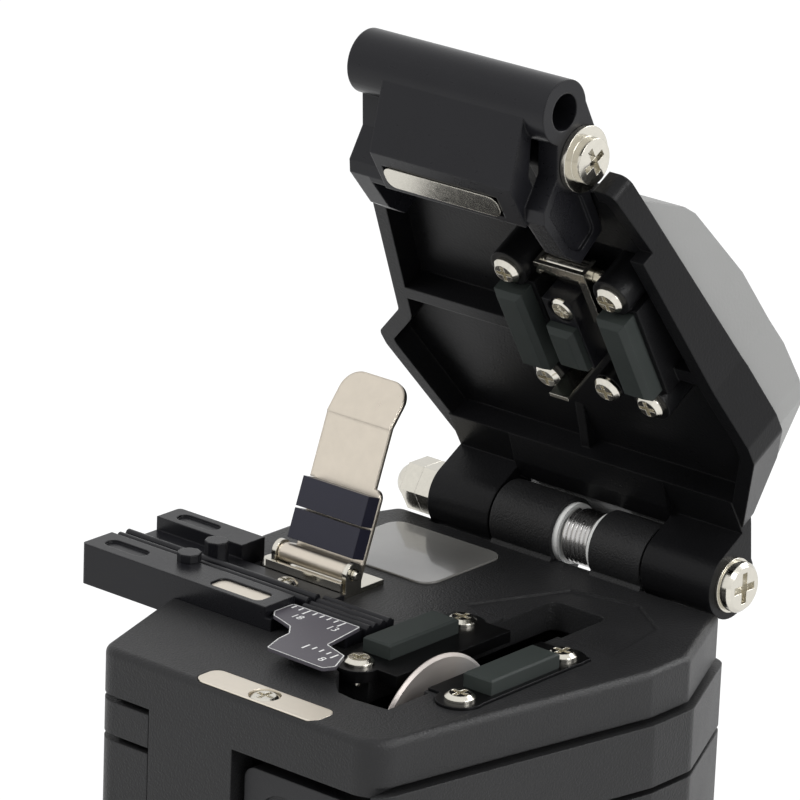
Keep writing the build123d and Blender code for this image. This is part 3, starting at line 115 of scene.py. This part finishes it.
def as_colour(value):
    """A colour tuple gets its alpha; links and numbers pass through."""
    if isinstance(value, tuple) and len(value) == 3:
        return (*value, 1.0)
    return value


def scaled(colour, factor):
    """The colour made darker or lighter."""
    return tuple(channel * factor for channel in colour)


# %% A finish with the patterns that the finishes share
class Look(Nodes):
    """One material, placed by the object's own coordinates."""

    def __init__(self, name):
        self.material = bpy.data.materials.new(name)
        super().__init__(self.material)
        self.place = self.node("ShaderNodeTexCoord", output="Object")

    def noise(self, size, detail=2.0, roughness=0.5, place=None):
        """Noise whose lumps are about this many metres across, from 0 to 1."""
        return self.node(
            "ShaderNodeTexNoise",
            {
                "Vector": place or self.place,
                "Scale": 1 / size,
                "Detail": detail,
                "Roughness": roughness,
            },
        )

    def mix(self, factor, first, second):
        """Blend of two colours."""
        return self.node(
            "ShaderNodeMix",
            {"Factor": factor, 6: as_colour(first), 7: as_colour(second)},
            output=2,
            data_type="RGBA",
        )

    def band(self, value, low, high):
        """0 below low, 1 above high, smooth between."""
        return self.node(
            "ShaderNodeMapRange",
            {"Value": value, "From Min": low, "From Max": high},
            interpolation_type="SMOOTHSTEP",
        )

    def axis(self, name, place):
        """One coordinate of the place."""
        return self.node("ShaderNodeSeparateXYZ", {0: place}, output=name)

    def stretched(self, scale):
        """The place with its axes scaled."""
        return self.node("ShaderNodeMapping", {"Vector": self.place, "Scale": scale})

    def bump(self, height, depth, normal=None):
        """Normal from a height that rises by this many metres."""
        sockets = {"Height": height, "Distance": depth, "Strength": 1.0}
        if normal:
            sockets["Normal"] = normal
        return self.node("ShaderNodeBump", sockets)

    def surface(self, varying, **fixed):
        """Principled surface with varying sockets linked and fixed ones written."""
        sockets = {"Base Color": (0.5, 0.5, 0.5, 1.0)}
        sockets.update({name: as_colour(v) for name, v in varying.items()})
        names = {
            "metallic": "Metallic",
            "specular": "Specular IOR Level",
            "coat": "Coat Weight",
            "coat_roughness": "Coat Roughness",
        }
        sockets.update({names[key]: value for key, value in fixed.items()})
        shader = self.node("ShaderNodeBsdfPrincipled", sockets)
        self.node("ShaderNodeOutputMaterial", {"Surface": shader})
        return self.material


# %% [markdown]
# ## Rounded edges without more geometry
#
# Moulded plastic and pressed metal never have knife-sharp corners: a thin line
# of light runs along each edge. Rounding every CAD edge would be costly, so
# the Bevel shader node bends the normal near an edge instead.


# %% Edge rounding shared by the finishes
def soft_edge(look, radius):
    """Normal that is rounded within this many metres of an edge."""
    return look.node("ShaderNodeBevel", {"Radius": radius}, samples=4)


# %% [markdown]
# ## Moulded black plastic
#
# The housing is moulded with a fine spark-eroded texture that scatters light,
# so it looks dark grey where it faces the light and black where it doesn't.
# Two noises make it: a fine one for the texture's bumps, and a broad one for
# the slight unevenness of colour. Worn edges and dust would be overdone here,
# so there are only a few faint long scratches in the gloss.


# %% Plastic finishes
def moulded_plastic(name, colour, roughness, grain, depth, variation=0.12, specular=0.5):
    """Matte or satin plastic with a moulded grain."""
    look = Look(name)
    broad = look.noise(9 * mm, 3.0)
    fine = look.noise(grain, 2.0, 0.6)
    long_specks = look.noise(1.6 * mm, 2.0, place=look.stretched((1.0, 9.0, 1.0)))
    scratches = look.band(long_specks, 0.68, 0.74)
    uneven = (broad - 0.5) * 0.14 + (fine - 0.5) * 0.1
    return look.surface(
        {
            "Base Color": look.mix(
                broad, scaled(colour, 1 - variation), scaled(colour, 1 + variation)
            ),
            "Roughness": roughness + uneven - scratches * 0.06,
            "Normal": look.bump(fine, depth, soft_edge(look, 0.25 * mm)),
        },
        specular=specular,
    )


finishes = {
    "housing": moulded_plastic(
        "moulded black", (0.013, 0.013, 0.0135), 0.42, 0.24 * mm, 0.09 * mm, 0.25, 0.26
    ),
    # The lid shell wears a darker, less glossy copy of the housing's black plastic: painted
    # shade for its shaded inside.
    "lid": moulded_plastic(
        "moulded lid with painted shade", (0.005, 0.005, 0.0055), 0.34, 0.3 * mm, 0.03 * mm, 0.25, 0.15
    ),
    "cover": moulded_plastic(
        "grey cover", (0.2, 0.2, 0.195), 0.5, 0.35 * mm, 0.02 * mm, 0.05
    ),
    "smooth": moulded_plastic(
        "smooth black", (0.007, 0.007, 0.0085), 0.3, 0.6 * mm, 0.006 * mm, 0.2, 0.22
    ),
    "panel": moulded_plastic(
        "panel black", (0.012, 0.012, 0.013), 0.45, 0.25 * mm, 0.03 * mm, 0.12, 0.3
    ),
}
print("plastics:", len(finishes))

# %% [markdown]
# ## Rubber
#
# The pads that hold the fibre are hard rubber: matte, very slightly green in
# the light, with faint dust. The flap's pads are smoother and navy.


# %% Rubber finishes
def rubber(name, colour, roughness, specular=0.35):
    """Matte rubber with a little dust."""
    look = Look(name)
    dust = look.band(look.noise(0.5 * mm, 3.0, 0.7), 0.62, 0.8)
    broad = look.noise(3 * mm)
    return look.surface(
        {
            "Base Color": look.mix(broad * 0.6 + dust * 0.25, colour, scaled(colour, 1.5)),
            "Roughness": roughness + dust * 0.1,
            "Normal": look.bump(look.noise(0.2 * mm), 0.01 * mm, soft_edge(look, 0.15 * mm)),
        },
        specular=specular,
    )


finishes["pad"] = rubber("pad rubber", (0.016, 0.0195, 0.018), 0.6, 0.25)
finishes["flap_pad"] = rubber("navy rubber", (0.009, 0.009, 0.017), 0.34)
finishes["mat"] = rubber("mat rubber", (0.025, 0.025, 0.025), 0.8)
print("with rubbers:", len(finishes))

# %% [markdown]
# ## Metals
#
# The screws, the flap and the brackets are plated: bright, slightly warm, with
# small blurs in the plating. The striker plate and the inlay are satin and
# cream. A metal shows what is around it, so a little roughness noise and fine
# scratches are what make it read as metal in a white studio. Towards its rim,
# at grazing angles, its colour is darkened a little: a painted reflection of
# the dark gaps a real tent would show.


# %% Metal finishes
def plated(name, colour, roughness, grain=0.6, scratches=0.08, stretch=(1, 1, 1), edge=0.12):
    """Metal with blurred plating and fine scratches; grain and edge in millimetres."""
    look = Look(name)
    place = look.stretched(stretch)
    blur = look.noise(grain * mm, 3.0, 0.6, place=place)
    lines = look.band(look.noise(0.25 * mm, 2.0, 0.7, place=place), 0.6, 0.75)
    # Facing weight darkens the colour towards grazing angles: a painted reflection of dark
    # surroundings.
    rim = look.node("ShaderNodeLayerWeight", {"Blend": 0.35}, output="Facing")
    blurred = look.mix(blur, scaled(colour, 0.86), colour)
    return look.surface(
        {
            "Base Color": look.mix(rim * rim * 0.75, blurred, scaled(colour, 0.3)),
            "Roughness": roughness + (blur - 0.5) * 0.12 + lines * scratches,
            "Normal": look.bump(blur, 0.004 * mm, soft_edge(look, edge * mm)),
        },
        metallic=1.0,
    )


finishes["chrome"] = plated("plated steel", (0.74, 0.71, 0.63), 0.16)
finishes["flap"] = plated("flap steel", (0.74, 0.67, 0.57), 0.3, 1.5, 0.04, edge=0.5)
finishes["cream"] = plated("satin cream steel", (0.88, 0.81, 0.7), 0.36, 1.2)
finishes["spring"] = plated("spring steel", (0.6, 0.59, 0.58), 0.24)
finishes["black_steel"] = plated("blackened steel", (0.03, 0.03, 0.032), 0.35, 1.0)
finishes["alloy"] = plated("milled alloy", (0.55, 0.55, 0.56), 0.35, 0.8, 0.1, (1, 6, 1))
print("with metals:", len(finishes))

# %% [markdown]
# ## The blade wheel
#
# The wheel is lapped on both faces while it turns, so its polish runs in
# circles and it reflects in a fan of light and dark from its centre. Rings of
# fine roughness come from the distance to the axle. The fan is a painted
# reflection: a colour ramp of light and dark steel driven by the angle round
# the axle. Both are worked out from the place on the wheel.


# %% Blade finish
def lapped_wheel(name, centre):
    """Steel polished in circles about an axle along X."""
    look = Look(name)
    offset = look.node(
        "ShaderNodeVectorMath", {0: look.place, 1: centre}, operation="SUBTRACT"
    )
    along = look.axis("Y", offset)
    up = look.axis("Z", offset)
    radius = (along * along + up * up) ** 0.5
    rings = look.node(
        "ShaderNodeTexNoise",
        {"Vector": look.node("ShaderNodeCombineXYZ", {0: radius}), "Scale": 9000.0},
    )
    # The angle round the axle drives a ramp of light and dark steel: a painted reflection fan
    # in the base colour.
    angle = look.node("ShaderNodeMath", {0: up, 1: along}, operation="ARCTAN2")
    painted_reflection_fan = look.node("ShaderNodeMath", {0: angle * 2.0 + 0.6}, operation="SINE")
    tone = look.node(
        "ShaderNodeValToRGB",
        {0: painted_reflection_fan * 0.5 + 0.5},
        stops=[(0.0, (0.36, 0.33, 0.31)), (0.5, (0.58, 0.53, 0.49)), (1.0, (0.86, 0.84, 0.82))],
    )
    return look.surface(
        {
            "Base Color": tone,
            "Roughness": 0.36 + rings * 0.16,
            "Normal": look.bump(rings, 0.002 * mm),
        },
        metallic=0.6,
    )


blade_axle = (0.0, -7.6 * mm, 32.0 * mm)
finishes["blade"] = lapped_wheel("lapped blade steel", blade_axle)
print("with the blade:", len(finishes))

# %% [markdown]
# ## Printed plates and nylon
#
# The label plate is a smooth grey sheet under a clear gloss, left bare. The
# scale plate is painted a satin purple grey, with its marks added further on
# as thin raised print. The hinge's bushes are natural nylon.


# %% Plates and nylon
def painted(name, colour, roughness, coat=0.0, chip=None):
    """Painted sheet, optionally under a clear coat."""
    look = Look(name)
    broad = look.noise(4 * mm, 3.0)
    speck = look.band(look.noise(0.3 * mm, 2.0, 0.7), 0.66, 0.78)
    tone = look.mix(broad, scaled(colour, 0.9), scaled(colour, 1.1))
    if chip:
        tone = look.mix(speck * 0.5, tone, chip)
    return look.surface(
        {
            "Base Color": tone,
            "Roughness": roughness + speck * 0.08,
            "Normal": look.bump(broad, 0.01 * mm, soft_edge(look, 0.1 * mm)),
        },
        coat=coat,
        coat_roughness=0.05,
    )


finishes["label"] = painted("bare grey label", (0.16, 0.156, 0.147), 0.2, 0.7)
finishes["scale"] = painted("scale grey", (0.06, 0.055, 0.066), 0.45, 0.0, (0.2, 0.2, 0.21))
finishes["print"] = painted("white print", (0.75, 0.75, 0.74), 0.5)
finishes["nylon"] = painted("nylon", (0.72, 0.72, 0.7), 0.4)
print("finishes:", len(finishes))

# %% [markdown]
# ## Who wears what
#
# A CAD node comes with a material slot of its own. Only what is in the slot
# changes, so the node keeps its name, its place and its body.

# %% Give every CAD node its finish
worn_by = {
    "housing": ["housing", "bottom_plate", "right_upper_cover", "right_lower_cover",
                "left_upper_cover", "left_lower_cover"],
    "panel": ["push_plate"],
    "lid": ["lid_shell"],
    "cover": ["lid_cover"],
    "smooth": ["handle", "fibre_tray", "fibre_guide", "tray_blocks", "anvil_block"],
    "pad": ["base_pad_left", "base_pad_right", "lid_pad_left", "lid_pad_right", "anvil_pad"],
    "mat": ["rubber_mat"],
    "flap_pad": ["flap_pads"],
    "chrome": ["base_pad_screws", "lid_pad_screws", "anvil_stop_screw", "anvil_screw",
               "striker_screw", "tray_screw", "hinge_screw", "hinge_washer", "hinge_nut",
               "hinge_acorn_nut", "handle_pivot_screw", "handle_magnet", "flap_bracket",
               "flap_pin", "anvil_bracket", "anvil_pivot_pin"],
    "flap": ["flap_leaf"],
    "cream": ["striker_plate", "tray_metal_plate"],
    "spring": ["torsion_spring", "handle_spring", "carriage_spring", "blade_hub",
               "blade_screw", "bottom_screws", "rail_screws"],
    "black_steel": ["left_pad_plate", "right_pad_plate"],
    "alloy": ["guide_rail", "carriage_runner", "carriage_block", "blade_holder"],
    "blade": ["blade_wheel"],
    "label": ["label_plate"],
    "scale": ["scale_plate"],
    "nylon": ["nylon_bushes"],
}
for finish, wearers in worn_by.items():
    for wearer in wearers:
        for slot in nodes[wearer].material_slots:
            slot.material = finishes[finish]
bare = sorted(set(nodes) - {n for names in worn_by.values() for n in names})
print("nodes without a finish:", bare)

# %% [markdown]
# ## The printed scale
#
# The scale plate tells how long the bare fibre will be: a mark each millimetre,
# with longer marks and a number where common lengths fall. On the real plate
# they are screen printed, a film thinner than a hair. Here they are thin bars
# and flat digits lying on the plate, so they stay sharp at any distance, and
# the worn pale rim of the plate is a narrow ring of its top face.

# %% Marks, numbers and the worn rim
plate_top = max(v.co.z for v in nodes["scale_plate"].data.vertices)
film = 0.02 * mm
mark_width = 0.2 * mm
digit_height = 1.5 * mm
rim_width = 0.14 * mm
weld = 0.001 * mm
facing_up = 0.9


def printed_piece(name, shape):
    """Turn a bmesh into a piece of white print that rides on the base."""
    bmesh.ops.recalc_face_normals(shape, faces=shape.faces)
    mesh = bpy.data.meshes.new(name)
    shape.to_mesh(mesh)
    shape.free()
    mesh.materials.append(finishes["print"])
    piece = bpy.data.objects.new(name, mesh)
    bpy.context.collection.objects.link(piece)
    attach(piece, "base")
    print(name, "faces:", len(mesh.polygons))


def bar(shape, x, back, front):
    """Printed bar along Y, one mark wide, lying on the plate; millimetres."""
    size = Matrix.Diagonal((mark_width, (back - front) * mm, film, 1.0))
    middle = Matrix.Translation((x * mm, (back + front) / 2 * mm, plate_top + film / 2))
    bmesh.ops.create_cube(shape, size=1.0, matrix=middle @ size)


def digits(shape, text, x, y):
    """Flat digits centred on a place, as mesh; millimetres."""
    curve = bpy.data.curves.new(text, "FONT")
    curve.body = text
    curve.size = digit_height
    curve.extrude = film / 2
    curve.align_x = "CENTER"
    curve.align_y = "CENTER"
    written = bpy.data.objects.new(text, curve)
    bpy.context.collection.objects.link(written)
    flat = bpy.data.meshes.new_from_object(
        written.evaluated_get(bpy.context.evaluated_depsgraph_get())
    )
    bpy.data.objects.remove(written)
    flat.transform(Matrix.Translation((x * mm, y * mm, plate_top + film / 2)))
    shape.from_mesh(flat)
    bpy.data.meshes.remove(flat)


# Each row: its first mark, how many there are, which are long, and where
# along Y they begin and end when short and when long.
mark_rows = [
    (-7.7, 8, (2, 7), -7.75, -8.55, -9.1),
    (0.8, 5, (0, 4), -15.2, -16.0, -16.5),
]
numbers = [("18", -5.5, -10.1), ("13", -0.6, -10.0), ("8", 4.4, -17.4)]
marks = bmesh.new()
for first, count, long_ones, start, short_end, long_end in mark_rows:
    for step in range(count):
        bar(marks, first + step, start, long_end if step in long_ones else short_end)
for text, x, y in numbers:
    digits(marks, text, x, y)
bmesh.ops.remove_doubles(marks, verts=marks.verts, dist=weld)
printed_piece("scale_marks", marks)

# %% The rim: the plate's top face without its middle
rim = bmesh.new()
rim.from_mesh(nodes["scale_plate"].data)
bmesh.ops.remove_doubles(rim, verts=rim.verts, dist=weld)
rim.normal_update()
not_top = [f for f in rim.faces if f.normal.z < facing_up]
bmesh.ops.delete(rim, geom=not_top, context="FACES")
bmesh.ops.dissolve_faces(rim, faces=rim.faces)
inner = list(rim.faces)
bmesh.ops.inset_region(rim, faces=inner, thickness=rim_width, use_boundary=True)
bmesh.ops.delete(rim, geom=inner, context="FACES")
bmesh.ops.solidify(rim, geom=list(rim.faces), thickness=-film)
printed_piece("scale_rim", rim)

# %% [markdown]
# ## Camera
#
# The photograph was taken from the front right, a little above the deck, with
# a long lens and a slight roll. The distance and the angles were worked out
# from the marks of the scale plate and the edges of the deck.

# %% Camera
azimuth, elevation, roll = (math.radians(angle) for angle in (39.87, 19.08, 2.248))
stand = Vector((357.724, -429.264, 258.646)) * mm
camera = bpy.data.objects.new("camera", bpy.data.cameras.new("camera"))
bpy.context.collection.objects.link(camera)
camera.data.sensor_width = 36.0
camera.data.lens = 249.8
camera.data.clip_end = 10.0
camera.matrix_world = (
    Matrix.Translation(stand)
    @ Matrix.Rotation(azimuth, 4, "Z")
    @ Matrix.Rotation(math.pi / 2 - elevation, 4, "X")
    @ Matrix.Rotation(roll, 4, "Z")
)
bpy.context.scene.camera = camera
bpy.context.scene.view_settings.view_transform = "Standard"
print("camera at", [round(v, 3) for v in camera.location])

# %% [markdown]
# ## Light and floor
#
# Product photographs like this one stand in a white tent: light comes from
# everywhere, with large soft boxes above the left front, at the right and
# behind. The background is white to the camera and to reflections, while the
# light that reaches the object stays plain. The front box lights the matte
# surfaces only: mirrored in the flap it would burn its bent end out to white.


# %% World, lamps and floor
def only_seen(look):
    """1 for rays from the camera, a mirror or clear material, else 0."""
    seen, mirrored, through = (
        look.node("ShaderNodeLightPath", output=f"Is {kind} Ray")
        for kind in ("Camera", "Glossy", "Transmission")
    )
    return seen.math("MINIMUM", seen + mirrored + through, 1.0)


world = bpy.data.worlds.new("white tent")
bpy.context.scene.world = world
sky = Nodes(world)
backdrop = sky.node("ShaderNodeBackground", {"Color": (1.0, 1.0, 1.0, 1.0), "Strength": 1.0})
tent = sky.node("ShaderNodeBackground", {"Color": (0.96, 0.98, 1.0, 1.0), "Strength": 0.5})
seen_world = sky.node("ShaderNodeMixShader", {0: only_seen(sky), 1: tent, 2: backdrop})
sky.node("ShaderNodeOutputWorld", {"Surface": seen_world})


def soft_box(name, place, aim, size, power, mirrored=True):
    """Square area lamp aimed at a point, seen in shiny surfaces or not."""
    data = bpy.data.lights.new(name, "AREA")
    data.shape = "SQUARE"
    data.size = size
    data.energy = power
    lamp = bpy.data.objects.new(name, data)
    bpy.context.collection.objects.link(lamp)
    lamp.location = place
    lamp.rotation_euler = (Vector(aim) - Vector(place)).to_track_quat("-Z", "Y").to_euler()
    lamp.visible_glossy = mirrored


middle = (0.0, 0.0, 0.05)
soft_box("key box", (-0.35, -0.5, 0.75), middle, 0.5, 7.0, mirrored=False)
soft_box("side box", (0.75, 0.05, 0.4), middle, 0.4, 4.0)
soft_box("back box", (0.25, 0.7, 0.6), middle, 0.5, 5.0)

floor_size = 4.0
floor_glow = 0.75
floor_look = Look("white floor")
paper = floor_look.node("ShaderNodeBsdfDiffuse", {"Color": (0.9, 0.9, 0.9, 1.0)})
glow = floor_look.node("ShaderNodeEmission", {"Color": (1.0, 1.0, 1.0, 1.0), "Strength": 1.0})
floor_look.node(
    "ShaderNodeOutputMaterial",
    {
        "Surface": floor_look.node(
            "ShaderNodeMixShader", {0: only_seen(floor_look) * floor_glow, 1: paper, 2: glow}
        )
    },
)
shape = bmesh.new()
bmesh.ops.create_grid(shape, x_segments=1, y_segments=1, size=floor_size)
floor_mesh = bpy.data.meshes.new("floor")
shape.to_mesh(floor_mesh)
shape.free()
floor_mesh.materials.append(floor_look.material)
floor = bpy.data.objects.new("floor", floor_mesh)
bpy.context.collection.objects.link(floor)
print("lamps and floor set")

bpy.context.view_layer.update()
